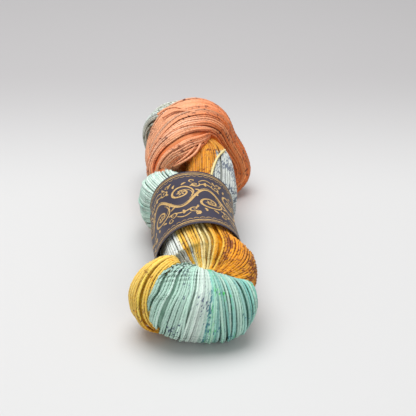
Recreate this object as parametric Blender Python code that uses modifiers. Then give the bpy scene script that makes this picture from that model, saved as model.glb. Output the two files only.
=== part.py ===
"""A twisted skein of fine yarn, lying on a table with a paper band round its waist.

The hank is wound as one loop, twisted, folded in half and tucked into itself. Its strands
gather into a few thick bundles, and each bundle is a row of oval sections along a smooth path.
The skein lies along Y, with its folded end towards -Y. Z is up, and the table is at z = 0.
"""

import math

import bmesh
import bpy
import numpy as np
from mathutils import Matrix

MM = 0.001

# Each bundle is a table of oval sections, in millimetres and degrees:
# x, y, z of the centre, half of the width, half of the depth, and the tilt about the path.
BUNDLES = {
    # Comes from inside the fold, forms the shoulder, runs under the band and out at the left.
    "shoulder": [
        (4, -79.5, 32, 2, 2, 0),
        (5, -78.5, 31.5, 12, 6, 0),
        (6.5, -75, 30, 21, 13, 0),
        (8, -67, 29, 25.5, 20, 0),
        (5, -57, 29.5, 24, 23, 0),
        (1, -44, 30, 21.5, 24, 0),
        (-5, -22, 31, 18, 22, 0),
        (-12, 0, 29, 17, 19, 0),
        (-18.5, 18, 26, 16.5, 19, 0),
        (-18, 32, 22, 15, 16, 0),
        (-11, 46, 14.5, 13, 14, 0),
        (4, 56, 13, 12, 12, 0),
        (17, 60, 15, 10, 10, 0),
    ],
    # The fold itself: fans out over the front, turns under and runs back through the tuck.
    "fold": [
        (3, -77, 34.5, 2.5, 1.5, 34),
        (3, -79, 36.5, 13, 3.5, 33),
        (3.5, -83.5, 35.5, 25.5, 8.5, 25),
        (4, -87.5, 30.5, 29.2, 12.5, 16),
        (3.5, -90, 22.5, 29.5, 13.5, 9),
        (2.5, -88.5, 14.5, 26.5, 13, 5),
        (2, -82, 11, 22.5, 11.5, 0),
        (3, -70, 11.5, 18.5, 11.5, 0),
        (5, -50, 14, 17, 13, 0),
        (6, -28, 17, 16, 15, 0),
        (7, 0, 25, 15.5, 18, 0),
        (8, 25, 31, 15.5, 18, 0),
        (6.5, 46, 34, 14, 17, 0),
        (2, 60, 36, 11, 13, 0),
        (-5, 72, 35, 11, 12, 0),
    ],
    # The second half of the fold, at its left.
    "left_fold": [
        (-10, -69, 36, 3, 2.5, 0),
        (-15, -73, 37.5, 9, 6, 0),
        (-22, -79, 34, 12, 8.5, 0),
        (-25, -82, 26, 13, 10.5, 0),
        (-23, -81, 17.5, 13, 11, 0),
        (-16, -74, 12, 13, 11, 0),
        (-8, -62, 12, 12, 11, 0),
        (-2, -50, 14, 12, 12, 0),
    ],
    # The loop at the far end, which the other end is pushed through.
    "loop": [
        (-20, 46, 26, 12, 9, 0),
        (-22, 58, 38, 17, 10, 0),
        (-13, 70, 51, 20, 10, 0),
        (0, 76, 54, 20, 10, 0),
        (10, 78, 48.5, 17, 10, 0),
        (17, 77, 37, 13.5, 8.5, 0),
        (23.5, 77, 25, 11, 8.5, 0),
        (25.5, 76, 15, 9.5, 8.5, 0),
        (20, 72, 8.5, 9, 8, 0),
        (10, 63, 8.5, 9, 8, 0),
    ],
    # The near side of the loop, fanned over its left half.
    "hood": [
        (7, 64, 49, 2.5, 2.5, 0),
        (4, 62, 51.5, 8, 5, 0),
        (-4, 58, 51.5, 17, 8.5, 0),
        (-12, 54, 49, 21.5, 9, 0),
        (-19, 49, 42, 21, 9.5, 0),
        (-22, 42, 33, 17, 9, 0),
        (-18, 36, 26, 13, 8, 0),
        (-12, 33, 19, 8, 6, 0),
    ],
    # The end that was pushed through, where the strands turn back.
    "tail": [
        (4, 72, 42, 7, 6, 0),
        (-6, 80, 49, 12, 8, 0),
        (-17, 88, 49, 15, 9, 0),
        (-24, 91, 40, 15, 9, 0),
        (-23, 89, 27, 13, 9, 0),
        (-13, 81, 19, 10, 8, 0),
        (-3, 71, 18, 7, 7, 0),
    ],
}
SPINE_FRONT = (0, -74, 27)  # a bundle's depth points away from the line between these
SPINE_BACK = (0, 75, 30)
STEP = 2.5  # between the sections of a bundle
ROUND = 32  # points round a section
SECTION_POWER = 2.3  # 2 is an ellipse, and more is squarer
VOXEL = 2.2
FACES_WANTED = 7000
BASE_CUT = 1.2  # taken off the underside, so that it lies flat

# The paper band: y, centre x, half width, half height. It stands clear of the table.
BAND = [
    (-58, 2.7, 24.6, 27.5),
    (-43, 0.7, 24.2, 27.3),
    (-28, -1.2, 24.0, 27.1),
    (-13, -2.5, 24.2, 26.9),
    (2.5, -3.6, 24.4, 26.7),
]
BAND_CENTRE_Z = 28.4
BAND_SKEW = 0.10  # its left side lies nearer the fold
BAND_POWER = 2.15
BAND_THICK = 1.0
BAND_POINTS = 56
BAND_GAP = 1.3  # between the yarn and the middle of the paper
BAND_EASE = 9.0  # how far past its edges the band still draws the yarn in

COLOURS = {
    "yarn_hank": ((0.62, 0.66, 0.48), 0.85),
    "paper_band": ((0.035, 0.033, 0.07), 0.55),
}


def clear_scene():
    for obj in list(bpy.data.objects):
        bpy.data.objects.remove(obj)


def paint(obj):
    colour, roughness = COLOURS[obj.name]
    material = bpy.data.materials.new(obj.name)
    material.use_nodes = True
    shader = material.node_tree.nodes["Principled BSDF"]
    shader.inputs["Base Color"].default_value = (*colour, 1)
    shader.inputs["Roughness"].default_value = roughness
    shader.inputs["Metallic"].default_value = 0.0
    obj.data.materials.clear()
    obj.data.materials.append(material)


def smooth_rows(rows, count=400):
    """The table's rows joined by smooth cubic stretches."""
    rows = np.array(rows, float)
    chords = np.linalg.norm(np.diff(rows[:, :3], axis=0), axis=1)
    knots = np.r_[0, np.cumsum(np.sqrt(chords))]
    slopes = np.gradient(rows, knots, axis=0)
    wanted = np.linspace(0, knots[-1], count)
    i = np.clip(np.searchsorted(knots, wanted, side="right") - 1, 0, len(knots) - 2)
    gap = (knots[i + 1] - knots[i])[:, None]
    t = (wanted - knots[i])[:, None] / gap
    start = (2 * t**3 - 3 * t**2 + 1) * rows[i] + (t**3 - 2 * t**2 + t) * gap * slopes[i]
    end = (3 * t**2 - 2 * t**3) * rows[i + 1] + (t**3 - t**2) * gap * slopes[i + 1]
    return start + end


def evenly(rows, step):
    """The same rows at even steps along the path."""
    chords = np.linalg.norm(np.diff(rows[:, :3], axis=0), axis=1)
    along = np.r_[0, np.cumsum(chords)]
    wanted = np.linspace(0, along[-1], int(along[-1] / step) + 1)
    return np.array([np.interp(wanted, along, column) for column in rows.T]).T


def unit(vectors):
    return vectors / np.linalg.norm(vectors, axis=-1, keepdims=True)


def square_off(vectors, along):
    """The part of each vector that is square to the path, at unit length."""
    return unit(vectors - along * np.sum(vectors * along, axis=1, keepdims=True))


def outward(centres, along):
    """Directions away from the skein's spine, square to the path and evened out."""
    front, back = np.array(SPINE_FRONT, float), np.array(SPINE_BACK, float)
    line = back - front
    share = np.clip((centres - front) @ line / (line @ line), 0, 1)
    away = centres - (front + share[:, None] * line)
    away -= along * np.sum(away * along, axis=1, keepdims=True)
    away /= np.maximum(np.linalg.norm(away, axis=1, keepdims=True), 4)
    for _ in range(30):
        away[1:-1] = (away[:-2] + 2 * away[1:-1] + away[2:]) / 4
    return square_off(away, along)


def carried(centres, along, start, first):
    """A direction carried along the path without turning about it, both ways from one row."""
    directions = np.zeros_like(centres)
    for stretch in (range(start, len(centres)), range(start, -1, -1)):
        direction = np.array(first, float)
        for i in stretch:
            direction = unit(direction - along[i] * (direction @ along[i]))
            directions[i] = direction
    return directions


def oval(points, power):
    """x and y of a rounded outline of half width 1 and half height 1."""
    angle = np.linspace(0, 2 * math.pi, points, endpoint=False)
    x, y = np.cos(angle), np.sin(angle)
    return np.sign(x) * np.abs(x) ** (2 / power), np.sign(y) * np.abs(y) ** (2 / power)


def band_row(y):
    """The band's centre x, half width and half height at y, and how firmly it holds there."""
    ys, *columns = np.array(BAND).T
    centre, width, height = (np.interp(y, ys, column) for column in columns)
    past = np.maximum(np.maximum(ys[0] - y, y - ys[-1]), 0) / BAND_EASE
    return centre, width, height, past


def draw_in(points):
    """Presses yarn that would stand outside the band in under it."""
    x, y, z = points.T
    centre, width, height, past = band_row(y - BAND_SKEW * x)
    across = (x - centre) / (width - BAND_GAP)
    up = (z - BAND_CENTRE_Z) / (height - BAND_GAP)
    reach = (np.abs(across) ** BAND_POWER + np.abs(up) ** BAND_POWER) ** (1 / BAND_POWER)
    allowed = 1 + 0.5 * past**2
    scale = np.where(past < 1.5, np.minimum(1, allowed / np.maximum(reach, 1e-6)), 1)
    drawn_x = centre + (x - centre) * scale
    drawn_z = BAND_CENTRE_Z + (z - BAND_CENTRE_Z) * scale
    return np.array([drawn_x, y, drawn_z]).T


def bundle_rings(name):
    """The points of each section along a bundle."""
    rows = evenly(smooth_rows(BUNDLES[name]), STEP)
    centres, width, depth = rows[:, :3], rows[:, 3], rows[:, 4]
    along = unit(np.gradient(centres, axis=0))
    if name == "shoulder":
        deep = carried(centres, along, int(np.argmin(np.abs(centres[:, 1] + 40))), (0, 0, 1))
    elif name == "fold":
        deep = carried(centres, along, int(np.argmin(centres[:, 1])), (0, -1, 0))
    else:
        deep = outward(centres, along)
    wide = np.cross(along, deep)
    turn = np.radians(rows[:, 5:6])
    deep, wide = np.cos(turn) * deep - np.sin(turn) * wide, np.cos(turn) * wide + np.sin(turn) * deep
    x, y = oval(ROUND, SECTION_POWER)
    across = (width[:, None] * x)[:, :, None] * wide[:, None]
    outwards = (depth[:, None] * y)[:, :, None] * deep[:, None]
    return centres[:, None] + across + outwards


def loft(name, rings, collection, capped):
    """A mesh object through rings of equally many points, with its faces pointing out."""
    shape = bmesh.new()
    loops = [[shape.verts.new(point) for point in ring * MM] for ring in rings]
    count = len(loops[0])
    for one, two in zip(loops, loops[1:]):
        for i in range(count):
            j = (i + 1) % count
            shape.faces.new((one[i], one[j], two[j], two[i]))
    if capped:
        shape.faces.new(loops[0])
        shape.faces.new(loops[-1])
    bmesh.ops.recalc_face_normals(shape, faces=shape.faces)
    mesh = bpy.data.meshes.new(name)
    shape.to_mesh(mesh)
    shape.free()
    obj = bpy.data.objects.new(name, mesh)
    collection.objects.link(obj)
    return obj


def evaluated_copy(obj):
    """The object's mesh with its modifiers applied."""
    graph = bpy.context.evaluated_depsgraph_get()
    return bpy.data.meshes.new_from_object(obj.evaluated_get(graph))


def flatten_base(mesh):
    """Cuts the underside along the table and closes it with a flat face."""
    shape = bmesh.new()
    shape.from_mesh(mesh)
    bmesh.ops.remove_doubles(shape, verts=shape.verts, dist=0.02 * MM)
    whole = shape.verts[:] + shape.edges[:] + shape.faces[:]
    cut = bmesh.ops.bisect_plane(
        shape, geom=whole, plane_co=(0, 0, 0), plane_no=(0, 0, -1), dist=1e-6, clear_outer=True
    )
    rim = [part for part in cut["geom_cut"] if isinstance(part, bmesh.types.BMEdge)]
    bmesh.ops.triangle_fill(shape, edges=rim, use_beauty=True)
    bmesh.ops.recalc_face_normals(shape, faces=shape.faces)
    shape.to_mesh(mesh)
    shape.free()


def make_hank(collection):
    """All the bundles grown together into one solid."""
    rings = {name: draw_in(bundle_rings(name).reshape(-1, 3)) for name in BUNDLES}
    lowest = min(points[:, 2].min() for points in rings.values())
    lift = np.array([0, 0, -lowest - BASE_CUT])
    parts = [
        loft(name, (points + lift).reshape(-1, ROUND, 3), collection, capped=True)
        for name, points in rings.items()
    ]
    joined = bmesh.new()
    for part in parts:
        joined.from_mesh(part.data)
        bpy.data.objects.remove(part)
    mesh = bpy.data.meshes.new("yarn_hank")
    joined.to_mesh(mesh)
    joined.free()
    hank = bpy.data.objects.new("yarn_hank", mesh)
    collection.objects.link(hank)
    remesh = hank.modifiers.new("grow_together", "REMESH")
    remesh.mode = "VOXEL"
    remesh.voxel_size = VOXEL * MM
    soften = hank.modifiers.new("soften", "SMOOTH")
    soften.factor = 0.5
    soften.iterations = 4
    hank.data = evaluated_copy(hank)
    hank.modifiers.clear()
    hank.data.calc_loop_triangles()
    reduce = hank.modifiers.new("fewer_faces", "DECIMATE")
    reduce.ratio = min(1, FACES_WANTED / len(hank.data.loop_triangles))
    hank.data = evaluated_copy(hank)
    hank.modifiers.clear()
    flatten_base(hank.data)
    hank.data.shade_smooth()
    paint(hank)
    return hank, lift


def make_band(collection, lift):
    """The paper band: one open sleeve, given its thickness."""
    x, z = oval(BAND_POINTS, BAND_POWER)
    rings = []
    for y, centre, width, height in BAND:
        across = centre + width * x
        ring = np.array([across, y + BAND_SKEW * across, BAND_CENTRE_Z + height * z]).T
        rings.append(ring + lift)
    band = loft("paper_band", rings, collection, capped=False)
    solidify = band.modifiers.new("paper", "SOLIDIFY")
    solidify.thickness = BAND_THICK * MM
    solidify.offset = 0
    solidify.use_even_offset = True
    band.data = evaluated_copy(band)
    band.modifiers.clear()
    band.data.shade_smooth()
    paint(band)
    return band


def centre_on_origin(*objects):
    """Moves the meshes so that the origin is under the middle of the whole skein."""
    points = np.array([vertex.co for obj in objects for vertex in obj.data.vertices])
    middle = (points.min(axis=0) + points.max(axis=0)) / 2
    for obj in objects:
        obj.data.transform(Matrix.Translation((-middle[0], -middle[1], 0)))


def main():
    clear_scene()
    collection = bpy.data.collections.new("yarn_skein")
    bpy.context.scene.collection.children.link(collection)
    hank, lift = make_hank(collection)
    band = make_band(collection, lift)
    centre_on_origin(hank, band)


main()
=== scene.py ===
# %% [markdown]
# # A twisted skein of hand-dyed yarn
#
# A skein like this is wound as one long loop, twisted, folded in half and tucked into itself,
# and a printed paper band holds it at the waist. This lesson builds it strand by strand over
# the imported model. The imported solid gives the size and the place, and the looks come from
# about four hundred separate strands, their dyes, and a paper sleeve with a drawn ornament.

# %% Load the frame and note its box
import math

import bpy
import numpy as np
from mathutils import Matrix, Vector, kdtree
from mathutils.bvhtree import BVHTree


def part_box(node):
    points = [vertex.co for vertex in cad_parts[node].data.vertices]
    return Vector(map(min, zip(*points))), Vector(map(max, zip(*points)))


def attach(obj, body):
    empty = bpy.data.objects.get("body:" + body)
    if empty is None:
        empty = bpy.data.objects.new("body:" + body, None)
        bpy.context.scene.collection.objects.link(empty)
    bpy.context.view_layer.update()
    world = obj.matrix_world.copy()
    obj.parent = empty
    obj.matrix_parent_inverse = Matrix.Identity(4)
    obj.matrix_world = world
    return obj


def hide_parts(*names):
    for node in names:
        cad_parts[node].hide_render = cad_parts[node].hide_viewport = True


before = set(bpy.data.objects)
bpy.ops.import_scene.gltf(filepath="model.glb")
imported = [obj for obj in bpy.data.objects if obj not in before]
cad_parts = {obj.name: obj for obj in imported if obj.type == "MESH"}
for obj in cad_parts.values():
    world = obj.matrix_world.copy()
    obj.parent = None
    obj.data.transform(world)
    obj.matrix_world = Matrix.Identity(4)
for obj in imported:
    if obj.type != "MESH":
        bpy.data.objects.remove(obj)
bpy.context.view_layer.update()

MM = 0.001
STRAND_RADIUS = 0.78
PLY_DEPTH = 0.10
random = np.random.default_rng(7)

# %% [markdown]
# ## The path of each bundle
#
# The strands of a skein gather into a few thick bundles. Each one is described here by a short
# table of oval sections along its path. A table is easier to tune than hundreds of curves, and
# it keeps neighbouring strands together, as the winding did. The values are millimetres, and
# degrees for the tilt.

# %% Tables of oval sections: x, y, z, half width, half depth, tilt
BUNDLES = {
    "shoulder": [
        (4, -79.5, 32, 2, 2, 0),
        (5, -78.5, 31.5, 12, 6, 0),
        (6.5, -75, 30, 21, 13, 0),
        (8, -67, 29, 25.5, 20, 0),
        (5, -57, 29.5, 24, 23, 0),
        (1, -44, 30, 21.5, 24, 0),
        (-5, -22, 31, 18, 22, 0),
        (-12, 0, 29, 17, 19, 0),
        (-18.5, 18, 26, 16.5, 19, 0),
        (-18, 32, 22, 15, 16, 0),
        (-11, 46, 14.5, 13, 14, 0),
        (4, 56, 13, 12, 12, 0),
        (17, 60, 15, 10, 10, 0),
    ],
    "fold": [
        (3, -77, 34.5, 2.5, 1.5, 34),
        (3, -79, 36.5, 13, 3.5, 33),
        (3.5, -83.5, 35.5, 25.5, 8.5, 25),
        (4, -87.5, 30.5, 29.2, 12.5, 16),
        (3.5, -90, 22.5, 29.5, 13.5, 9),
        (2.5, -88.5, 14.5, 26.5, 13, 5),
        (2, -82, 11, 22.5, 11.5, 0),
        (3, -70, 11.5, 18.5, 11.5, 0),
        (5, -50, 14, 17, 13, 0),
        (6, -28, 17, 16, 15, 0),
        (7, 0, 25, 15.5, 18, 0),
        (8, 25, 31, 15.5, 18, 0),
        (6.5, 46, 34, 14, 17, 0),
        (2, 60, 36, 11, 13, 0),
        (-5, 72, 35, 11, 12, 0),
    ],
    "left_fold": [
        (-10, -69, 36, 3, 2.5, 0),
        (-15, -73, 37.5, 9, 6, 0),
        (-22, -79, 34, 12, 8.5, 0),
        (-25, -82, 26, 13, 10.5, 0),
        (-23, -81, 17.5, 13, 11, 0),
        (-16, -74, 12, 13, 11, 0),
        (-8, -62, 12, 12, 11, 0),
        (-2, -50, 14, 12, 12, 0),
    ],
    "loop": [
        (-20, 46, 26, 12, 9, 0),
        (-22, 58, 38, 17, 10, 0),
        (-13, 70, 51, 20, 10, 0),
        (0, 76, 54, 20, 10, 0),
        (10, 78, 48.5, 17, 10, 0),
        (17, 77, 37, 13.5, 8.5, 0),
        (23.5, 77, 25, 11, 8.5, 0),
        (25.5, 76, 15, 9.5, 8.5, 0),
        (20, 72, 8.5, 9, 8, 0),
        (10, 63, 8.5, 9, 8, 0),
    ],
    "hood": [
        (7, 64, 49, 2.5, 2.5, 0),
        (4, 62, 51.5, 8, 5, 0),
        (-4, 58, 51.5, 17, 8.5, 0),
        (-12, 54, 49, 21.5, 9, 0),
        (-19, 49, 42, 21, 9.5, 0),
        (-22, 42, 33, 17, 9, 0),
        (-18, 36, 26, 13, 8, 0),
        (-12, 33, 19, 8, 6, 0),
    ],
    "tail": [
        (4, 72, 42, 7, 6, 0),
        (-6, 80, 49, 12, 8, 0),
        (-17, 88, 49, 15, 9, 0),
        (-24, 91, 40, 15, 9, 0),
        (-23, 89, 27, 13, 9, 0),
        (-13, 81, 19, 10, 8, 0),
        (-3, 71, 18, 7, 7, 0),
    ],
}
SPINE_FRONT, SPINE_BACK = np.array((0, -74, 27.0)), np.array((0, 75, 30.0))
SECTION_POWER = 2.3  # 2 is an ellipse, and more is squarer
STEP = 0.95  # between the rings of a strand
print(len(BUNDLES), "bundles from", sum(map(len, BUNDLES.values())), "sections")

# %% [markdown]
# The paper band is a sleeve that slants a little and widens towards the back. The yarn under it
# is drawn in, so the same table shapes the paper and presses the strands.

# %% The band's table: y, centre x, half width, half height
BAND = [
    (-58, 2.7, 24.6, 27.5),
    (-43, 0.7, 24.2, 27.3),
    (-28, -1.2, 24.0, 27.1),
    (-13, -2.5, 24.2, 26.9),
    (2.5, -3.6, 24.4, 26.7),
]
BAND_CENTRE_Z = 28.4
BAND_SKEW = 0.10  # how far back the edges slant for each step to the right
BAND_POWER = 2.15
BAND_GAP = 1.1  # between the yarn and the sleeve
BAND_EASE = 9.0  # the yarn swells out again over this distance
print("the band runs from y", BAND[0][0], "to", BAND[-1][0], "mm")


# %% Smooth the tables and walk along them at even steps
def smooth_rows(rows, count=500):
    rows = np.array(rows, float)
    knots = np.r_[0, np.cumsum(np.sqrt(np.linalg.norm(np.diff(rows[:, :3], axis=0), axis=1)))]
    slopes = np.gradient(rows, knots, axis=0)
    wanted = np.linspace(0, knots[-1], count)
    i = np.clip(np.searchsorted(knots, wanted, side="right") - 1, 0, len(knots) - 2)
    gap = (knots[i + 1] - knots[i])[:, None]
    t = (wanted - knots[i])[:, None] / gap
    start = (2 * t**3 - 3 * t**2 + 1) * rows[i] + (t**3 - 2 * t**2 + t) * gap * slopes[i]
    end = (3 * t**2 - 2 * t**3) * rows[i + 1] + (t**3 - t**2) * gap * slopes[i + 1]
    return start + end


def evenly(rows, step):
    along = np.r_[0, np.cumsum(np.linalg.norm(np.diff(rows[:, :3], axis=0), axis=1))]
    wanted = np.linspace(0, along[-1], int(along[-1] / step) + 1)
    return np.array([np.interp(wanted, along, column) for column in rows.T]).T


def unit(vectors):
    return vectors / np.maximum(np.linalg.norm(vectors, axis=-1, keepdims=True), 1e-9)


# %% [markdown]
# Each section needs a direction that counts as its outside. For most bundles that is away from
# the spine of the skein. The shoulder runs along the spine, where that direction would flip,
# so its direction is carried along the path from one section to the next instead.


# %% Directions across a bundle
SMOOTH_PASSES = 180
SHOULDER_START = -40  # y where the shoulder's outside is straight up


def outward(centres, along):
    line = SPINE_BACK - SPINE_FRONT
    share = np.clip((centres - SPINE_FRONT) @ line / (line @ line), 0, 1)
    away = centres - (SPINE_FRONT + share[:, None] * line)
    away -= along * np.sum(away * along, axis=1, keepdims=True)
    away /= np.maximum(np.linalg.norm(away, axis=1, keepdims=True), 4)
    for _ in range(SMOOTH_PASSES):
        away[1:-1] = (away[:-2] + 2 * away[1:-1] + away[2:]) / 4
    return unit(away - along * np.sum(away * along, axis=1, keepdims=True))


def carried(centres, along, start, first):
    directions = np.zeros_like(centres)
    for stretch in (range(start, len(centres)), range(start, -1, -1)):
        direction = np.array(first, float)
        for i in stretch:
            direction = unit(direction - along[i] * (direction @ along[i]))
            directions[i] = direction
    return directions


def bundle_path(name):
    rows = evenly(smooth_rows(BUNDLES[name]), STEP)
    centres = rows[:, :3]
    along = unit(np.gradient(centres, axis=0))
    if name == "shoulder":
        deep = carried(centres, along, int(np.argmin(np.abs(centres[:, 1] - SHOULDER_START))), (0, 0, 1))
    elif name == "fold":
        deep = carried(centres, along, int(np.argmin(centres[:, 1])), (0, -1, 0))
    else:
        deep = outward(centres, along)
    wide = np.cross(along, deep)
    turn = np.radians(rows[:, 5:6])
    deep, wide = np.cos(turn) * deep - np.sin(turn) * wide, np.cos(turn) * wide + np.sin(turn) * deep
    return rows, deep, wide


for name in BUNDLES:
    print(name, "runs about", round(len(bundle_path(name)[0]) * STEP), "mm")

# %% [markdown]
# ## The paper sleeve as a function
#
# One function gives the point of the sleeve at a distance round it and a distance along it. The
# paper and its drawn ornament both use it, so the ornament lies exactly on the paper. A crease
# and a slight flare at the edges are part of it.

# %% Points on the sleeve
BAND_WIDTH = 60.5
BAND_LAP = 9.0  # the ends of the paper overlap underneath
SLEEVE_STEPS = 1441
FLARE, FLARE_RUN = 0.012, 7
CREASE_PLACE, CREASE_DEPTH, CREASE_WIDTH = 37, 0.9, 2.2
turns = np.linspace(0, 2 * math.pi, SLEEVE_STEPS)
sleeve_x = -np.sign(np.sin(turns)) * np.abs(np.sin(turns)) ** (2 / BAND_POWER)
sleeve_z = -np.sign(np.cos(turns)) * np.abs(np.cos(turns)) ** (2 / BAND_POWER)


def band_row(y):
    ys, *columns = np.array(BAND).T
    return [np.interp(y, ys, column) for column in columns]


def sleeve_point(around, along):
    """around is from the top, positive to the right; along is from the front edge."""
    y = BAND[0][0] + along
    centre, width, height = band_row(y)
    edge = max(0.0, 1 - along / FLARE_RUN) ** 2 + max(0.0, 1 - (BAND_WIDTH - along) / FLARE_RUN) ** 2
    flare = 1 + FLARE * edge
    x, z = centre + width * flare * sleeve_x, BAND_CENTRE_Z + height * flare * sleeve_z
    lengths = np.r_[0, np.cumsum(np.hypot(np.diff(x), np.diff(z)))]
    place = lengths[-1] / 2 + around
    lap = place - lengths[-1] + BAND_LAP / 2
    px, pz = (np.interp(place % lengths[-1], lengths, values) for values in (x, z))
    out = unit(np.array((px - centre, 0.0, pz - BAND_CENTRE_Z)))
    side = -around - CREASE_PLACE
    crease = -CREASE_DEPTH * math.exp(-((side - 0.05 * along) / CREASE_WIDTH) ** 2)
    wave = 0.22 * math.sin(around / 9 + along / 17) + 0.15 * math.sin(along / 6.5 - around / 21)
    step = 0.5 * min(1, max(0, lap / 3))
    out = out * (crease + wave - step)
    return np.array((px + out[0], y + BAND_SKEW * px, pz + out[2]))


def sleeve_normal(around, along):
    here = sleeve_point(around, along)
    across = sleeve_point(around + 0.4, along) - here
    down = sleeve_point(around, along + 0.4) - here
    return unit(np.cross(down, across) * -1)


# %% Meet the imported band
flat_rows = np.array([(c + w * sx, y + BAND_SKEW * (c + w * sx), BAND_CENTRE_Z + h * sz)
                      for y, c, w, h in BAND for sx, sz in zip(sleeve_x, sleeve_z)])
band_low, band_high = (np.array(corner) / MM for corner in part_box("paper_band"))
SHIFT = (band_low + band_high) / 2 - (flat_rows.min(axis=0) + flat_rows.max(axis=0)) / 2
ROUND = float(np.hypot(*np.diff(flat_rows[:SLEEVE_STEPS, [0, 2]], axis=0).T).sum())
print("skein moved by", SHIFT.round(2), "mm to meet the frame; round the band", round(ROUND, 1), "mm")


# %% [markdown]
# Yarn that would stand outside the band is pressed in under it, and it swells out again within
# a few millimetres of each edge, which gives the nipped waist.


# %% Draw the yarn in under the band
def draw_in(points):
    x, y, z = points.T
    ys, *columns = np.array(BAND).T
    level = y - BAND_SKEW * x
    centre, width, height = (np.interp(level, ys, column) for column in columns)
    past = np.maximum(np.maximum(ys[0] - level, level - ys[-1]), 0) / BAND_EASE
    gap = BAND_GAP + STRAND_RADIUS
    across, up = (x - centre) / (width - gap), (z - BAND_CENTRE_Z) / (height - gap)
    reach = (np.abs(across) ** BAND_POWER + np.abs(up) ** BAND_POWER) ** (1 / BAND_POWER)
    allowed = 1 + 0.5 * past**2
    scale = np.where(past < 1.5, np.minimum(1, allowed / np.maximum(reach, 1e-6)), 1)
    return np.array([centre + (x - centre) * scale, y, BAND_CENTRE_Z + (z - BAND_CENTRE_Z) * scale]).T


# %% [markdown]
# ## Strands
#
# The strands run along the surface of their bundle and share its perimeter evenly, so they
# converge where the bundle is narrow and fan out where it is wide. Real strands aren't ruled
# lines: each one wanders a little, some sink, and a few ride over their neighbours. Slow random
# drifts do this, from one seeded source, so the result is the same each time.


# %% Slow drifts
def smooth(share):
    share = np.clip(share, 0, 1)
    return share * share * (3 - 2 * share)


def drifts(count, steps, spacing, strength):
    """Slow random drifts, one row for each strand."""
    knots = max(3, int(steps / spacing) + 2)
    values = random.normal(0, strength, (count, knots))
    place = np.linspace(0, knots - 1.001, steps)
    i, t = place.astype(int), place % 1
    t = smooth(t)
    return values[:, i] * (1 - t) + values[:, i + 1] * t


# %% The fan of the front fold
FAN_RIGHT, FAN_LEFT = 2.0, 0.8  # how strongly each side gathers at the dimple
FAN_RUN = 58.0


def fan_out(lanes, steps):
    """The fold's strands leave the dimple close together and spread like a scallop shell."""
    gathered = np.clip(1 - np.arange(steps) * STEP / FAN_RUN, 0, 1) ** 1.2
    away = (lanes + 0.25) % 1 - 0.5
    power = 1 + gathered * np.where(away > 0, FAN_RIGHT, FAN_LEFT)
    squeeze = power * np.abs(2 * away) ** (power - 1)
    return (0.25 + 0.5 * np.sign(away) * np.abs(2 * away) ** power) % 1, np.clip(squeeze, 0.1, 1)


# %% Lanes round a bundle
JITTER, WANDER, CLUMP = 0.07, 0.13, 0.05  # in strand spacings
PROUD_SHARE, PROUD_WANDER, PROUD_LIFT = 0.09, 2.2, 0.6  # strands that ride over their neighbours


def lanes_round(count, steps):
    """Where round the bundle each strand runs, from 0 to 1, and which strands ride high."""
    jitter = random.normal(0, JITTER, (count, 1))
    wander = drifts(count, steps, 22, WANDER)
    clump = CLUMP * np.sin(np.arange(count)[:, None] * 1.21 + drifts(1, steps, 30, 1.5))
    proud = (random.random((count, 1)) < PROUD_SHARE).astype(float)
    wander += proud * drifts(count, steps, 60, PROUD_WANDER)
    return ((np.arange(count)[:, None] + jitter + wander + clump) / count) % 1, proud


def surface_directions(points, outs):
    """Outward directions taken from the neighbouring strands, so that the shading follows them."""
    around = np.roll(points, -3, axis=0) - np.roll(points, 3, axis=0)
    facing = np.cross(around, np.gradient(points, axis=1))
    facing *= np.sign(np.sum(facing * outs))
    size = np.maximum(np.linalg.norm(facing, axis=2, keepdims=True), 1e-6)
    return unit(facing / size + 0.1 * outs)


# %% One bundle's strands
SECTION_POINTS = 161


def bundle_strands(name, spacing):
    """Points, outward directions and lanes round the bundle, for each strand and ring."""
    rows, deep, wide = bundle_path(name)
    angle = np.linspace(0, 2 * math.pi, SECTION_POINTS)
    ux = np.sign(np.cos(angle)) * np.abs(np.cos(angle)) ** (2 / SECTION_POWER)
    uy = np.sign(np.sin(angle)) * np.abs(np.sin(angle)) ** (2 / SECTION_POWER)
    half_w, half_d = np.maximum(rows[:, 3:5] - STRAND_RADIUS, 0.6).T
    x, y = half_w[:, None] * ux, half_d[:, None] * uy
    lengths = np.cumsum(np.hypot(np.diff(x, prepend=x[:, :1]), np.diff(y, prepend=y[:, :1])), axis=1)
    perimeter = lengths[:, -1]
    count, steps = int(perimeter.max() / spacing), len(rows)
    lanes, proud = lanes_round(count, steps)
    places, squeeze = fan_out(lanes, steps) if name == "fold" else (lanes, 1)
    crowd = np.clip(1 - squeeze * perimeter / count / (2 * STRAND_RADIUS), 0, 0.9)
    sink = drifts(count, steps, 26, 0.12) + proud * PROUD_LIFT
    sink -= crowd * random.uniform(0, 1.0, (count, 1))
    points, outs = np.zeros((count, steps, 3)), np.zeros((count, steps, 3))
    for i in range(steps):
        share = lengths[i] / perimeter[i]
        px, py = np.interp(places[:, i], share, x[i]), np.interp(places[:, i], share, y[i])
        nx, ny = px / half_w[i] ** 2, py / half_d[i] ** 2
        size = np.maximum(np.hypot(nx, ny), 1e-6)
        out = (nx / size)[:, None] * wide[i] + (ny / size)[:, None] * deep[i]
        surface = rows[i, :3] + px[:, None] * wide[i] + py[:, None] * deep[i]
        points[:, i] = surface + sink[:, i, None] * out
        outs[:, i] = out
    flat = draw_in(points.reshape(-1, 3)) + SHIFT
    flat[:, 2] = np.maximum(flat[:, 2], STRAND_RADIUS * (1 + PLY_DEPTH))
    points = flat.reshape(points.shape)
    return points, surface_directions(points, outs), lanes
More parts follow.
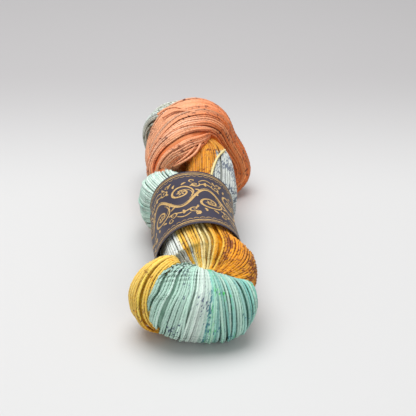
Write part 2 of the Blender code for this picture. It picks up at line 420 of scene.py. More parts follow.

# %% [markdown]
# ## Dyes
#
# Hand-dyed yarn takes its colours in long runs, with powder specks on top. Here every ring of
# every strand gets a ground colour, a speck colour and an amount of specks. The values are
# stored on the mesh as attributes, the ground colour with painted shade on the sides of each
# strand, and the material only has to draw the specks and fibres.

# %% Named dyes
def dye(red, green, blue):
    """A colour from everyday 0 to 255 values, made linear for the shader."""
    values = np.array((red, green, blue)) / 255
    return np.where(values > 0.04045, ((values + 0.055) / 1.055) ** 2.4, values / 12.92)


DYES = {
    "mint": dye(188, 224, 207),
    "pale mint": dye(222, 238, 228),
    "sea": dye(130, 196, 184),
    "teal": dye(28, 112, 128),
    "navy": dye(18, 40, 96),
    "leaf": dye(44, 190, 70),
    "cream": dye(240, 222, 160),
    "yellow": dye(246, 206, 92),
    "gold": dye(240, 174, 32),
    "amber": dye(228, 150, 18),
    "orange": dye(236, 156, 14),
    "brown": dye(124, 52, 4),
    "chalk": dye(216, 222, 216),
    "slate": dye(84, 96, 118),
    "salmon": dye(244, 172, 128),
    "coral": dye(236, 142, 88),
    "rust": dye(226, 118, 46),
    "maroon": dye(92, 28, 26),
    "lichen": dye(202, 200, 184),
    "moss": dye(120, 122, 96),
}
print(len(DYES), "dyes")


def blend_stops(value, stops):
    """Colours between stops, each a place and the name of a dye."""
    places = [place for place, _ in stops]
    colours = np.array([DYES[name] for _, name in stops])
    return np.stack([np.interp(value, places, channel) for channel in colours.T], axis=-1)


def pick(mask, first, second):
    return np.where(mask[..., None], first, second)


# %% Where each bundle takes its colours
BEHIND_BAND = -20  # the y where the dyes of the two long bundles change, out of sight


def ramp(value, low, high):
    return np.clip((value - low) / (high - low), 0, 1)


def dye_shoulder(side, points, spread):
    """White, yellow and orange from left to right in front; mint behind the band."""
    across = side + 0.10 * spread
    front = blend_stops(across, [(-0.66, "chalk"), (-0.58, "cream"), (-0.50, "yellow"), (-0.34, "gold"),
                                 (-0.22, "yellow"), (-0.08, "cream"), (0.04, "yellow"), (0.2, "gold"),
                                 (0.45, "orange"), (1, "orange")])
    height = points[..., 2] / MM
    behind = blend_stops(height + 3 * spread, [(4, "coral"), (9, "salmon"), (14, "pale mint"),
                                               (28, "mint"), (44, "pale mint")])
    rear = points[..., 1] / MM > BEHIND_BAND
    specks = np.where(rear, 0.1, 0.08 + 0.5 * ramp(across, 0.02, 0.4))
    toward = pick(rear, DYES["sea"], pick(across > 0.1, DYES["brown"],
                                          pick(across > -0.45, DYES["orange"], DYES["slate"])))
    return pick(rear, behind, front), toward, specks


def dye_fold(side, points, spread):
    """Mint with blue and green powder over the front; gold and white where it comes out behind."""
    x = points[..., 0] / MM
    lane = 2.5 * spread - side * 29
    front = blend_stops(lane, [(-26, "mint"), (-14, "pale mint"), (-6, "mint"), (0, "pale mint"),
                               (5, "mint"), (10, "sea"), (15, "mint"), (19, "sea"), (23, "mint"),
                               (26, "sea"), (29, "mint")])
    right_of = x - 7.5 - 0.26 * (points[..., 1] / MM - 10) + 0.7 * spread
    behind = blend_stops(right_of, [(-9, "amber"), (-0.8, "amber"), (0, "cream"), (1, "chalk")])
    rear = points[..., 1] / MM > BEHIND_BAND
    powder = pick(lane < -2, DYES["navy"], pick(np.abs(spread) < 1.1, DYES["teal"], DYES["leaf"]))
    toward = pick(rear, pick(right_of < 0, DYES["brown"], DYES["slate"]), powder)
    amount = 0.10 + 0.08 * ramp(lane, -16, -4) + 0.55 * np.exp(-((lane - 12) / 10) ** 2)
    specks = np.where(rear, np.where(right_of < 0, 0.3, 0.7), amount)
    return pick(rear, behind, front), toward, specks


def dye_left_fold(side, points, spread):
    height = points[..., 2] / MM
    ground = blend_stops(height + 4 * spread, [(4, "gold"), (16, "yellow"), (42, "yellow")])
    return ground, pick(spread > 0, DYES["orange"], DYES["brown"]), np.full(side.shape, 0.25)


def dye_loop(side, points, spread):
    x = points[..., 0] / MM
    ground = blend_stops(x + 4 * spread, [(-24, "salmon"), (-6, "salmon"), (8, "coral"), (20, "rust")])
    return ground, pick(spread > 0.6, DYES["brown"], DYES["maroon"]), 0.16 + 0.2 * ramp(x, 0, 20)


def dye_hood(side, points, spread):
    x = points[..., 0] / MM
    # the ramp runs from salmon to coral and rust towards the pole on the right; rust is the yarn's own
    # dye, and its darker end near the pole is also painted shade
    ground = blend_stops(x + 5 * spread, [(-30, "coral"), (-20, "salmon"), (-4, "salmon"),
                                          (6, "coral"), (14, "rust")])
    return ground, np.broadcast_to(DYES["maroon"], ground.shape), np.full(side.shape, 0.24)


def dye_tail(side, points, spread):
    ground = blend_stops(spread, [(-1.2, "chalk"), (0, "lichen"), (1.2, "pale mint")])
    return ground, np.broadcast_to(DYES["moss"], ground.shape), np.full(side.shape, 0.45)


# %% [markdown]
# ## Strands into meshes
#
# A strand of sock yarn is plies twisted together. Six corners round each ring, with every
# second one drawn in, turn as they go along, and the smooth shading rounds them into plies.
# Strands that run deep inside the skein can't be seen, so their hidden stretches are left out.

# %% Stretches that can't be seen
HIDDEN_DEPTH = 4.2
HIDDEN_FRONT, HIDDEN_REAR = 13, 11  # how far in under the band's two edges
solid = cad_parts["yarn_hank"].data
solid_tree = BVHTree.FromPolygons([v.co for v in solid.vertices], [p.vertices for p in solid.polygons])
print("packed hank has", len(solid.polygons), "faces")


def hidden(points):
    """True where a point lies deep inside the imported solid, or far in under the band."""
    deep = np.zeros(len(points), bool)
    for i, point in enumerate(points):
        place, normal, _, distance = solid_tree.find_nearest(Vector(point * MM))
        if distance > HIDDEN_DEPTH * MM:
            deep[i] = (Vector(point * MM) - place).dot(normal) < 0
    level = points[:, 1] - SHIFT[1] - BAND_SKEW * (points[:, 0] - SHIFT[0])
    return deep | ((level > BAND[0][0] + HIDDEN_FRONT) & (level < BAND[-1][0] - HIDDEN_REAR))


# %% Rings and faces
PLY_PITCH = 6.6
CORNERS = 6


def rings_round(lines, outs):
    """The corners of every ring, their angles, and the distance run along each strand."""
    along = unit(np.gradient(lines, axis=1))
    up = unit(outs - along * np.sum(outs * along, axis=2, keepdims=True))
    side = np.cross(along, up)
    run = np.cumsum(np.linalg.norm(np.diff(lines, axis=1, prepend=lines[:, :1]), axis=2), axis=1)
    start = random.uniform(0, 2 * math.pi, (len(lines), 1))
    corner = np.arange(CORNERS) * 2 * math.pi / CORNERS
    angle = (start + run * 2 * math.pi / PLY_PITCH)[..., None] + corner
    size = STRAND_RADIUS * (1 + PLY_DEPTH * np.cos(3 * corner))
    rings = lines[:, :, None] + size[:, None] * (
        np.cos(angle)[..., None] * up[:, :, None] + np.sin(angle)[..., None] * side[:, :, None]
    )
    return rings, angle, run


def faces_between(shown):
    """Quads and end caps over the stretches that show, and the rings that they use."""
    spans = shown[:, :-1] | shown[:, 1:]
    used = np.zeros(shown.shape, bool)
    used[:, :-1] |= spans
    used[:, 1:] |= spans
    index = np.full(shown.shape, -1)
    index[used] = np.arange(used.sum())
    a, b = index[:, :-1][spans] * CORNERS, index[:, 1:][spans] * CORNERS
    j = np.arange(CORNERS)
    k = (j + 1) % CORNERS
    edges = (a[:, None] + j, a[:, None] + k, b[:, None] + k, b[:, None] + j)
    quads = np.stack(edges, axis=-1).reshape(-1, 4)
    none = np.zeros((len(shown), 1), bool)
    before, after = np.hstack([none, spans[:, :-1]]), np.hstack([spans[:, 1:], none])
    starts = index[:, :-1][spans & ~before] * CORNERS
    ends = index[:, 1:][spans & ~after] * CORNERS
    caps = [(s + j[::-1]).tolist() for s in starts] + [(e + j).tolist() for e in ends]
    return quads.tolist() + caps, used


# %% Twisted tubes from strand paths
# painted shade: the sides of each strand that turn away from the outside are darkened in its stored
# colour, as if its neighbours shaded them
VALLEY_PAINTED_SHADE = 0.64  # how much of its colour a strand keeps on the sides that its neighbours shade


def add_object(name, data):
    obj = bpy.data.objects.new(name, data)
    bpy.context.scene.collection.objects.link(obj)
    return obj


def store(mesh, name, kind, field, values):
    layer = mesh.attributes.new(name, kind, "POINT")
    layer.data.foreach_set(field, np.asarray(values, np.float32).ravel())


def tube_mesh(name, lines, outs, colours, first_id=0, cull=True):
    """One mesh of many strands. colours is (ground, toward, specks) for each strand and ring."""
    count, steps = lines.shape[:2]
    rings, angle, run = rings_round(lines, outs)
    shown = np.ones((count, steps), bool)
    if cull:
        shown = ~hidden(lines.reshape(-1, 3)).reshape(count, steps)
    faces, used = faces_between(shown)
    mesh = bpy.data.meshes.new(name)
    mesh.from_pydata((rings[used].reshape(-1, 3) * MM).tolist(), [], faces)
    mesh.update()
    ground, toward, specks = (np.repeat(values[used], CORNERS, axis=0) for values in colours)
    # painted shade in the strand's colour: darker and deeper on the sides that turn away from the outside
    painted_valley_shade = VALLEY_PAINTED_SHADE + (1 - VALLEY_PAINTED_SHADE) * np.clip(np.cos(angle) + 0.35, 0, 1)[used].reshape(-1, 1)
    ones = np.ones(len(ground))
    ids = np.broadcast_to(np.arange(count)[:, None] + first_id, (count, steps))
    turned = np.tile(np.arange(CORNERS) / CORNERS, used.sum())
    place = np.c_[np.repeat(run[used], CORNERS), turned, np.repeat(ids[used], CORNERS)]
    # the dye attribute holds the ground colour with this painted shade multiplied in
    store(mesh, "dye", "FLOAT_COLOR", "color", np.c_[ground ** (2 - painted_valley_shade) * painted_valley_shade, ones])
    store(mesh, "speck", "FLOAT_COLOR", "color", np.c_[toward, ones])
    store(mesh, "specks", "FLOAT", "value", specks)
    store(mesh, "strand", "FLOAT_VECTOR", "vector", place)
    obj = add_object(name, mesh)
    mesh.shade_smooth()
    return obj


# %% Build the bundles
SPACING = 1.56
CLOUD_EVERY = 4  # rings between the points that later colour the core
PAINTERS = {"shoulder": dye_shoulder, "fold": dye_fold, "left_fold": dye_left_fold,
            "loop": dye_loop, "hood": dye_hood, "tail": dye_tail}
DEEPER = {"shoulder": 0.55, "fold": 0.45, "left_fold": 0.35, "loop": 0.5, "hood": 0.5, "tail": 0.6}
TONE_SPREAD, WASH_SPREAD, DEEP_SPREAD = 0.09, 0.16, 0.13


def varied(ground, toward, reach):
    """The dye is uneven: strands differ in tone, and some are paler or nearer the speck colour."""
    count, steps = ground.shape[:2]
    tone = 1 + TONE_SPREAD * random.normal(0, 1, (count, 1)) + drifts(count, steps, 16, 0.05)
    washed = random.normal(-0.05, WASH_SPREAD, (count, 1)) + drifts(count, steps, 40, 0.06)
    deeper = random.normal(-0.02, DEEP_SPREAD, (count, 1)) + drifts(count, steps, 30, 0.07)
    ground = ground + (toward - ground) * np.clip(deeper, 0, 0.35)[..., None] * reach
    ground = ground + (np.sqrt(ground) - ground) * np.clip(washed, 0, 0.5)[..., None] * 1.5
    return np.clip(ground * np.clip(tone, 0.6, 1.3)[..., None], 0, 1)


yarn_pieces, cloud_points, cloud_colours = [], [], []
next_id = 0
for bundle in BUNDLES:
    lines, outs, lanes = bundle_strands(bundle, SPACING)
    count, steps = lanes.shape
    side = np.cos(2 * math.pi * lanes)
    spread = drifts(count, steps, 45, 1.0)
    ground, toward, specks = PAINTERS[bundle](side, lines * MM, spread)
    ground = varied(ground, toward, DEEPER[bundle])
    toward = np.ascontiguousarray(np.broadcast_to(toward, ground.shape))
    parts = 1 + (bundle in ("shoulder", "fold"))
    for part in range(parts):
        some = slice(part, None, parts)
        obj = tube_mesh(f"{bundle}_strands_{part + 1}", lines[some], outs[some],
                        (ground[some], toward[some], specks[some]), next_id)
        yarn_pieces.append(obj)
        next_id += count
        triangles = sum(len(face.vertices) - 2 for face in obj.data.polygons)
        print(obj.name, "has", len(lines[some]), "strands and", triangles, "triangles")
    cloud_points.append(lines[:, ::CLOUD_EVERY].reshape(-1, 3))
    cloud_colours.append(ground[:, ::CLOUD_EVERY].reshape(-1, 3))

# %% [markdown]
# ## Loose strands
#
# A few strands have slipped out of place: they ride over the others or hang in small loops.

# %% Loose strands
LOOSE = [
    ("salmon", [(6.5, 60, 47.5), (9.3, 61.5, 51.5), (9.2, 64, 56), (6, 66, 59.8),
                (1, 66.5, 62), (-5, 66.5, 63.2), (-14, 67, 63), (-22, 66, 59)]),
    ("salmon", [(-5, 66, 61), (-9, 68, 63.6), (-14, 69, 64.8), (-20, 69, 63.4), (-25, 68, 60)]),
    ("salmon", [(3, 60, 50), (2.6, 55, 51.6), (2.4, 47, 52.6), (1.6, 40, 53),
                (-1, 33, 51.5), (-6, 29, 49), (-12, 29.5, 45), (-18, 34, 40)]),
    ("salmon", [(2, 60, 51), (1, 53, 53), (0.4, 46, 53.8), (-1.2, 39, 53.4),
                (-5, 33, 51), (-11, 31, 46.5), (-18, 34, 41)]),
    ("coral", [(1, 61, 52), (-1, 53, 54.4), (-2.4, 46, 55), (-5, 39, 54),
               (-9, 34, 51), (-14, 32, 46.5), (-20, 35, 41)]),
    ("salmon", [(-1, 60, 53.5), (-4, 51, 56), (-6.5, 44, 56), (-10, 37, 53.4),
                (-15, 33.5, 48), (-21, 35.5, 42)]),
    ("cream", [(17, 46, 46.4), (15, 38, 49), (12, 28, 50.2), (9.5, 18, 48.7),
               (8, 8, 46.4), (7, -4, 43.8)]),
]
LOOSE_RINGS = 70


def loose_strands():
    lines, outs, grounds = [], [], []
    for name, knots in LOOSE:
        rows = np.c_[np.array(knots, float), np.zeros((len(knots), 3))]
        fine = smooth_rows(rows)[:, :3] + SHIFT
        chords = np.r_[0, np.cumsum(np.linalg.norm(np.diff(fine, axis=0), axis=1))]
        wanted = np.linspace(0, chords[-1], LOOSE_RINGS)
        lines.append(np.array([np.interp(wanted, chords, c) for c in fine.T]).T)
        outs.append(np.tile((0.1, -0.3, 1.0), (LOOSE_RINGS, 1)))
        grounds.append(np.tile(DYES[name], (LOOSE_RINGS, 1)))
    ground = np.array(grounds)
    toward = np.ascontiguousarray(np.broadcast_to(DYES["maroon"], ground.shape))
    colours = (ground, toward, np.full(ground.shape[:2], 0.1))
    return tube_mesh("loose_strands", np.array(lines), np.array(outs), colours, next_id, cull=False)


yarn_pieces.append(loose_strands())
print(len(LOOSE), "loose strands")

# %% [markdown]
# ## The inside
#
# Between the outer strands one sees more yarn, in shade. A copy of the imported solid, pulled in
# by a little more than a strand's thickness, stands for it. Each of its points takes the colour
# of the nearest strand and darkens it.

# %% The core
CORE_DEPTH = 1.8
CORE_SHADE = 0.8
bpy.ops.object.select_all(action="DESELECT")
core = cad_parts["yarn_hank"].copy()
core.data = core.data.copy()
core.name = core.data.name = "inner_yarn"
bpy.context.scene.collection.objects.link(core)
core.hide_render = core.hide_viewport = False
for key in list(core.keys()):
    del core[key]
core.data.materials.clear()
bpy.context.view_layer.objects.active = core
core.select_set(True)
bpy.ops.object.mode_set(mode="EDIT")
bpy.ops.mesh.select_all(action="SELECT")
bpy.ops.mesh.remove_doubles(threshold=0.02 * MM)
bpy.ops.object.mode_set(mode="OBJECT")
pull = core.modifiers.new("pull_in", "DISPLACE")
pull.strength = -CORE_DEPTH * MM
pull.mid_level = 0
bpy.ops.object.modifier_apply(modifier="pull_in")
core.data.shade_smooth()
print("inner yarn has", len(core.data.vertices), "points")

# %% Give the core the colour of the nearest strand
cloud = np.concatenate(cloud_points)
cloud_dyes = np.concatenate(cloud_colours)
tree = kdtree.KDTree(len(cloud))
for i, point in enumerate(cloud):
    tree.insert(point, i)
tree.balance()
inner = np.array([cloud_dyes[tree.find(v.co / MM)[1]] for v in core.data.vertices])
# painted shade: the nearest strand's colour, deepened and darkened for the yarn seen between the strands
store(core.data, "dye", "FLOAT_COLOR", "color", np.c_[inner**1.5 * CORE_SHADE, np.ones(len(inner))])


# %% [markdown]
# ## The paper band
#
# The band is one strip of card, rolled into a sleeve with its ends lapped underneath. A grid is
# laid out flat, each point is moved to its place on the sleeve, and Solidify gives the card its
# thickness.

# %% Roll the paper
PAPER = 0.35
PAPER_GRID = (176, 40)
FLAT_LENGTH = ROUND + BAND_LAP


def select_only(obj):
    bpy.ops.object.select_all(action="DESELECT")
    obj.select_set(True)
    bpy.context.view_layer.objects.active = obj


bpy.ops.object.select_all(action="DESELECT")
bpy.ops.mesh.primitive_grid_add(x_subdivisions=PAPER_GRID[0], y_subdivisions=PAPER_GRID[1], size=1)
band = bpy.context.object
band.name = band.data.name = "band_paper"
flat = np.array([v.co[:2] for v in band.data.vertices])
rolled = [sleeve_point(u * FLAT_LENGTH, (v + 0.5) * BAND_WIDTH) for u, v in flat]
band.data.vertices.foreach_set("co", ((np.array(rolled) + SHIFT) * MM).ravel())
thick = band.modifiers.new("card", "SOLIDIFY")
thick.thickness = PAPER * MM
thick.offset = -1
select_only(band)
bpy.ops.object.modifier_apply(modifier="card")
band.data.shade_smooth()
bpy.ops.object.shade_smooth_by_angle(angle=math.radians(50))
print("the paper has", len(band.data.polygons), "faces")


# %% [markdown]
# The print on the band is a generic ornament: scrolling stems, spirals, leaves and border lines
# in gold. Each line is a narrow ribbon with a swelling width, like a pen stroke, laid just above
# the paper with the sleeve function.

# %% Ribbons on the sleeve
strokes = []


def stroke(points, wide, taper=True):
    points = np.array(points, float)
    chords = np.r_[0, np.cumsum(np.linalg.norm(np.diff(points, axis=0), axis=1))]
    steps = max(3, int(chords[-1] / 0.7))
    wanted = np.linspace(0, chords[-1], steps)
    line = np.array([np.interp(wanted, chords, c) for c in points.T]).T
    swell = np.sin(np.pi * np.linspace(0.06, 0.94, steps)) ** 0.6 if taper else np.ones(steps)
    strokes.append((line, wide * swell / 2))


def spiral(x, y, radius, start, turns_made, flip=1, wide=1.1):
    t = np.linspace(0, 1, 60)
    angle = start + flip * turns_made * 2 * math.pi * t
    r = radius * (1 - 0.86 * t)
    stroke(np.c_[x + r * np.cos(angle), y + r * np.sin(angle)], wide)


def bent(a, b, bulge, wide=1.0):
    a, b = np.array(a, float), np.array(b, float)
    t = np.linspace(0, 1, 40)[:, None]
    normal = np.array((-(b - a)[1], (b - a)[0]))
    stroke(a + (b - a) * t + normal * bulge * np.sin(np.pi * t), wide)


def leaf(x, y, length, angle, wide=1.5):
    tip = (x + length * math.cos(angle), y + length * math.sin(angle))
    bent((x, y), tip, 0.16, wide)


def rosette(x, y, size, petals=6):
    for k in range(petals):
        angle = k * 2 * math.pi / petals
        leaf(x + 0.5 * math.cos(angle), y + 0.5 * math.sin(angle), size, angle, size * 0.42)


# %% [markdown]
# A stem waves along the middle of the band. Each hollow of the wave holds a spiral with a small
# rosette, and sprays of scrolls and leaves fill the space between the stem and the borders.

# %% Draw the stem, the hollows and the borders
MIDDLE, WAVE, PERIOD = 30.2, 8.6, 31.0
BORDERS = ((2.0, 0.45), (3.5, 0.8), (57.1, 0.8), (58.6, 0.45))  # place across the band, width
ARC_STEP, ARC_LENGTH = 3.4, 3.1  # the row of small arcs beside each border


def stem(s):
    return MIDDLE + WAVE * math.sin(2 * math.pi * s / PERIOD)


EDGE = FLAT_LENGTH / 2 - 6
along_stem = np.linspace(-EDGE, EDGE, 320)
stroke([(s, stem(s)) for s in along_stem], 1.35, taper=False)
stroke([(s, stem(s) + 1.7) for s in along_stem], 0.45, taper=False)
hollow = -PERIOD * 2.25
while hollow < EDGE - 6:
    up = math.copysign(1, stem(hollow) - MIDDLE)
    x, y = hollow + 0.6, MIDDLE - 6.6 * up
    spiral(x, y, 7.6, up * 0.73, 1.7, -up, 1.4)
    spiral(x, y, 9.2, up * 1.1, 0.42, -up, 0.55)
    rosette(x, y, 2.3)
    for k in range(6):
        angle = up * (-2.7 + 0.62 * k)
        leaf(x + 8.3 * math.cos(angle), y + 8.3 * math.sin(angle), 3.4, angle + 0.75 * up, 1.4)
    for shift in (-6.2, 6.2):
        cx, cy = hollow + shift, MIDDLE + 14.2 * up
        quarter, flip = math.pi / 2 * up, math.copysign(1, shift) * up
        spiral(cx, cy, 2.9, quarter + shift * 0.12, 1.35, flip, 0.95)
        spiral(cx + shift * 0.25, cy + 4.6 * up, 2.1, -quarter, 1.1, flip, 0.8)
    bent((hollow - 4.6, MIDDLE + 12.9 * up), (hollow + 4.6, MIDDLE + 12.9 * up), 0.26 * up, 1.1)
    bent((hollow - 4.2, MIDDLE + 17.2 * up), (hollow + 4.2, MIDDLE + 17.2 * up), 0.34 * up, 0.9)
    leaf(hollow, MIDDLE + 13.0 * up, 4.0, math.pi / 2 * up, 1.7)
    leaf(hollow + PERIOD / 4 - 1.2, MIDDLE + 17.0 * up, 4.2, math.pi / 2 * up + 0.5, 1.3)
    leaf(hollow + PERIOD / 4 + 1.2, MIDDLE + 17.0 * up, 4.2, math.pi / 2 * up - 0.5, 1.3)
    hollow += PERIOD / 2
for along, wide in BORDERS:
    stroke([(s, along) for s in np.linspace(-EDGE, EDGE, 220)], wide, taper=False)
for k in range(int(2 * EDGE / ARC_STEP)):
    first = -EDGE + ARC_STEP * k
    for along, bulge in ((5.2, 0.35), (55.4, -0.35)):
        bent((first, along), (first + ARC_LENGTH, along), bulge, 0.5)


# %% Turn the strokes into ribbons
def ribbon_mesh(name, height):
    verts, faces = [], []
    for line, half in strokes:
        tangent = unit(np.gradient(line, axis=0))
        normal = np.c_[-tangent[:, 1], tangent[:, 0]] * half[:, None]
        first = len(verts)
        for here, out in zip(line, normal):
            for s, t in (here + out, here - out):
                verts.append(sleeve_point(s, t) + height * sleeve_normal(s, t) + SHIFT)
        faces += [(first + 2 * i, first + 2 * i + 1, first + 2 * i + 3, first + 2 * i + 2)
                  for i in range(len(line) - 1)]
    mesh = bpy.data.meshes.new(name)
    mesh.from_pydata([tuple(v * MM) for v in verts], [], faces)
    return add_object(name, mesh)


INK_LIFT = 0.07
ornament = ribbon_mesh("band_ornament", INK_LIFT)
print(len(strokes), "strokes on the band")


# %% [markdown]
# ## Materials
#
# A small class wraps a socket, so that shader maths reads like ordinary maths.

# %% Sockets that can be added and multiplied
class Wire:
    def __init__(self, tree, socket):
        self.tree, self.socket = tree, socket

    def maths(self, operation, other, swap=False):
        node = self.tree.nodes.new("ShaderNodeMath")
        node.operation = operation
        for i, value in enumerate((other, self) if swap else (self, other)):
            if isinstance(value, Wire):
                self.tree.links.new(value.socket, node.inputs[i])
            else:
                node.inputs[i].default_value = value
        return Wire(self.tree, node.outputs[0])

    def __add__(self, other):
        return self.maths("ADD", other)

    def __radd__(self, other):
        return self.maths("ADD", other, swap=True)

    def __sub__(self, other):
        return self.maths("SUBTRACT", other)

    def __rsub__(self, other):
        return self.maths("SUBTRACT", other, swap=True)

    def __mul__(self, other):
        return self.maths("MULTIPLY", other)

    def __rmul__(self, other):
        return self.maths("MULTIPLY", other, swap=True)


class Finish:
    """A material in the making."""

    def __init__(self, name):
        self.material = bpy.data.materials.new(name)
        self.material.use_nodes = True
        self.tree = self.material.node_tree
        self.shader = self.tree.nodes["Principled BSDF"]

    def node(self, kind, settings=(), output=0, **inputs):
        node = self.tree.nodes.new(kind)
        for key, value in dict(settings).items():
            setattr(node, key, value)
        for key, value in inputs.items():
            socket = node.inputs[int(key[1:])] if key[1:].isdigit() else node.inputs[key.replace("_", " ")]
            self.feed(socket, value)
        return Wire(self.tree, node.outputs[output])

    def feed(self, socket, value):
        if isinstance(value, Wire):
            self.tree.links.new(value.socket, socket)
        else:
            socket.default_value = value

    def attribute(self, name, output):
        return self.node("ShaderNodeAttribute", {"attribute_name": name}, output)

    def mix(self, factor, one, two, how="MIX"):
        settings = {"data_type": "RGBA", "blend_type": how}
        return self.node("ShaderNodeMix", settings, output=2, i0=factor, i6=one, i7=two)

    def between(self, value, low, high):
        """0 below low, 1 above high, and smooth between."""
        return self.node("ShaderNodeMapRange", {"interpolation_type": "SMOOTHSTEP"},
                         Value=value, From_Min=low, From_Max=high)

    def set(self, **values):
        for key, value in values.items():
            self.feed(self.shader.inputs[key.replace("_", " ")], value)


# %% [markdown]
# The yarn's material stretches its noise along each strand. Specks are short dashes on single
# strands, gathered in clouds. The fibres show as fine bumps, and a little sheen gives the soft
# edge of wool.

# %% Hand-dyed wool
def yarn_finish():
    wool = Finish("hand_dyed_wool")
    place = wool.attribute("strand", 1)
    parts = wool.tree.nodes.new("ShaderNodeSeparateXYZ")
    wool.tree.links.new(place.socket, parts.inputs[0])
    run, angle, number = (Wire(wool.tree, parts.outputs[i]) for i in range(3))
    dash = wool.node("ShaderNodeCombineXYZ", X=run * 0.34, Y=number * 3.7, Z=angle * 2.0)
    fine = wool.node("ShaderNodeTexNoise", Vector=dash, Scale=1.0, Detail=1.0, Roughness=0.4)
    where = wool.node("ShaderNodeTexCoord", output=3)
    cloud = wool.node("ShaderNodeTexNoise", Vector=where, Scale=95.0, Detail=2.0)
    amount = wool.attribute("specks", 2)
    level = fine + (cloud - 0.5) * 0.6 + amount * 0.30
    mask = wool.between(level, 0.74, 0.82) * wool.between(amount, 0.0, 0.05)
    tint = wool.between(level, 0.56, 0.80) * 0.22
    base = wool.mix(tint, wool.attribute("dye", 0), wool.attribute("speck", 0))
    colour = wool.mix(mask * 0.82, base, wool.attribute("speck", 0))
    fibre_place = wool.node("ShaderNodeCombineXYZ", X=run * 0.9, Y=number * 5.1, Z=angle * 9)
    fibre = wool.node("ShaderNodeTexNoise", Vector=fibre_place, Scale=1.0, Detail=3.0)
    shade = wool.mix(wool.between(fibre, 0.35, 0.7) * 0.07, colour, (1, 1, 1, 1))
    bump = wool.node("ShaderNodeBump", Strength=0.35, Distance=0.00012, Height=fibre)
    wool.set(Base_Color=shade, Roughness=0.86 - fibre * 0.12, Normal=bump)
    wool.set(Sheen_Weight=0.08, Sheen_Roughness=0.45, Specular_IOR_Level=0.15)
    return wool.material


def inner_finish():
    inside = Finish("yarn_in_shade")
    where = inside.node("ShaderNodeTexCoord", output=3)
    grain = inside.node("ShaderNodeTexNoise", Vector=where, Scale=700.0, Detail=2.0)
    colour = inside.mix(grain * 0.3, inside.attribute("dye", 0), (0.02, 0.015, 0.01, 1))
    bump = inside.node("ShaderNodeBump", Strength=0.6, Distance=0.0004, Height=grain)
    inside.set(Base_Color=colour, Roughness=0.95 - grain * 0.1, Normal=bump)
    inside.set(Specular_IOR_Level=0.1)
    return inside.material


# %% Printed card and gold ink
def card_finish():
    card = Finish("printed_card")
    where = card.node("ShaderNodeTexCoord", output=3)
    grain = card.node("ShaderNodeTexNoise", Vector=where, Scale=1500.0, Detail=3.0)
    cloud = card.node("ShaderNodeTexNoise", Vector=where, Scale=60.0, Detail=2.0)
    ink = card.mix(card.between(cloud, 0.3, 0.7), (0.030, 0.025, 0.048, 1), (0.039, 0.033, 0.058, 1))
    fleck = card.mix(card.between(grain, 0.62, 0.8) * 0.25, ink, (0.16, 0.14, 0.18, 1))
    bump = card.node("ShaderNodeBump", Strength=0.25, Distance=0.00005, Height=grain)
    card.set(Base_Color=fleck, Roughness=0.50 + (cloud - 0.5) * 0.2, Normal=bump)
    card.set(Specular_IOR_Level=0.5)
    return card.material


def ink_finish():
    ink = Finish("gold_ink")
    where = ink.node("ShaderNodeTexCoord", output=3)
    grain = ink.node("ShaderNodeTexNoise", Vector=where, Scale=900.0, Detail=2.0)
    dull, bright = ((*dye(*values), 1) for values in ((196, 158, 98), (222, 186, 124)))
    gold = ink.mix(ink.between(grain, 0.35, 0.7), dull, bright)
    ink.set(Base_Color=gold, Roughness=0.45 + grain * 0.2, Metallic=0.25)
    return ink.material


wool_material = yarn_finish()
for obj in yarn_pieces:
    obj.data.materials.append(wool_material)
core.data.materials.append(inner_finish())
band.data.materials.append(card_finish())
ornament.data.materials.append(ink_finish())
print("finishes:", sorted(material.name for material in bpy.data.materials if material.use_nodes))

# %% [markdown]
# ## Into the frame
#
# Each piece rides on the model's only body, and the strands stand for the imported hank.

# %% Ride and replace
for obj in yarn_pieces + [core]:
    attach(obj, "root")
    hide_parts("yarn_hank")
for obj in (band, ornament):
    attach(obj, "root")
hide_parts("paper_band")
print("the paper was cut", BAND_WIDTH, "by", round(FLAT_LENGTH, 1), "mm")

# %% [markdown]
# ## Floor, light and camera
#
# The skein lies on a plain pale surface, with painted shade that darkens it a little into the
# distance. One wide soft light hangs over it, and a weaker one in front opens the shadows.

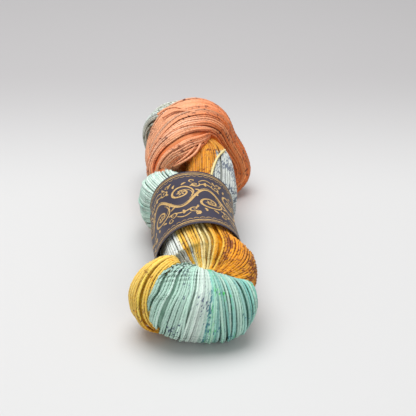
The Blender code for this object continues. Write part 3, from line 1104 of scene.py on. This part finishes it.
# %% Floor
bpy.ops.object.select_all(action="DESELECT")
bpy.ops.mesh.primitive_plane_add(size=6)
floor = bpy.context.object
floor.name = "floor"
surface = Finish("pale_surface")
surface_place = surface.node("ShaderNodeTexCoord", output=3)
split = surface.tree.nodes.new("ShaderNodeSeparateXYZ")
surface.tree.links.new(surface_place.socket, split.inputs[0])
far_painted_falloff = surface.between(Wire(surface.tree, split.outputs[1]), 0.06, 0.28)
# painted shade: the floor colour darkens towards the back
surface.set(Base_Color=surface.mix(far_painted_falloff, (0.65, 0.65, 0.65, 1), (0.485, 0.475, 0.48, 1)), Roughness=0.7)
surface.set(Specular_IOR_Level=0.2)
floor.data.materials.append(surface.material)
print("floor", [round(side, 1) for side in floor.dimensions], "m")


# %% Lights
def soft_light(name, place, aim, size, power):
    lamp = bpy.data.lights.new(name, "AREA")
    lamp.shape, lamp.size, lamp.energy = "DISK", size, power
    obj = add_object(name, lamp)
    obj.location = place
    obj.rotation_mode = "QUATERNION"
    obj.rotation_quaternion = (Vector(aim) - Vector(place)).to_track_quat("-Z", "Y")


soft_light("overhead", (-0.10, 0.06, 1.0), (0, 0, 0.02), 0.9, 10.5)
soft_light("front_fill", (0.35, -1.1, 0.55), (0, 0, 0.03), 0.9, 3.0)
world = bpy.data.worlds.new("room")
world.use_nodes = True
world.node_tree.nodes["Background"].inputs[0].default_value = (1, 1, 1, 1)
world.node_tree.nodes["Background"].inputs[1].default_value = 0.40
bpy.context.scene.world = world
bpy.context.scene.view_settings.view_transform = "Standard"
print("lights:", sorted(lamp.name for lamp in bpy.data.lights))

# %% Camera
CAMERA_RISE = math.radians(30)
CAMERA_DISTANCE = 0.75
CAMERA_LENS = 108.2
LOOK_AT = (6.5, 12, 25)
look = (np.array(LOOK_AT) + SHIFT) * MM
back = Vector((0, -math.cos(CAMERA_RISE), math.sin(CAMERA_RISE)))
camera_data = bpy.data.cameras.new("camera")
camera = add_object("camera", camera_data)
camera.location = Vector(look) + back * CAMERA_DISTANCE
camera.rotation_mode = "QUATERNION"
camera.rotation_quaternion = (-back).to_track_quat("-Z", "Y")
camera_data.sensor_width = 36
camera_data.lens = CAMERA_LENS
bpy.context.scene.camera = camera
print("camera at", [round(value, 3) for value in camera.location], "m")
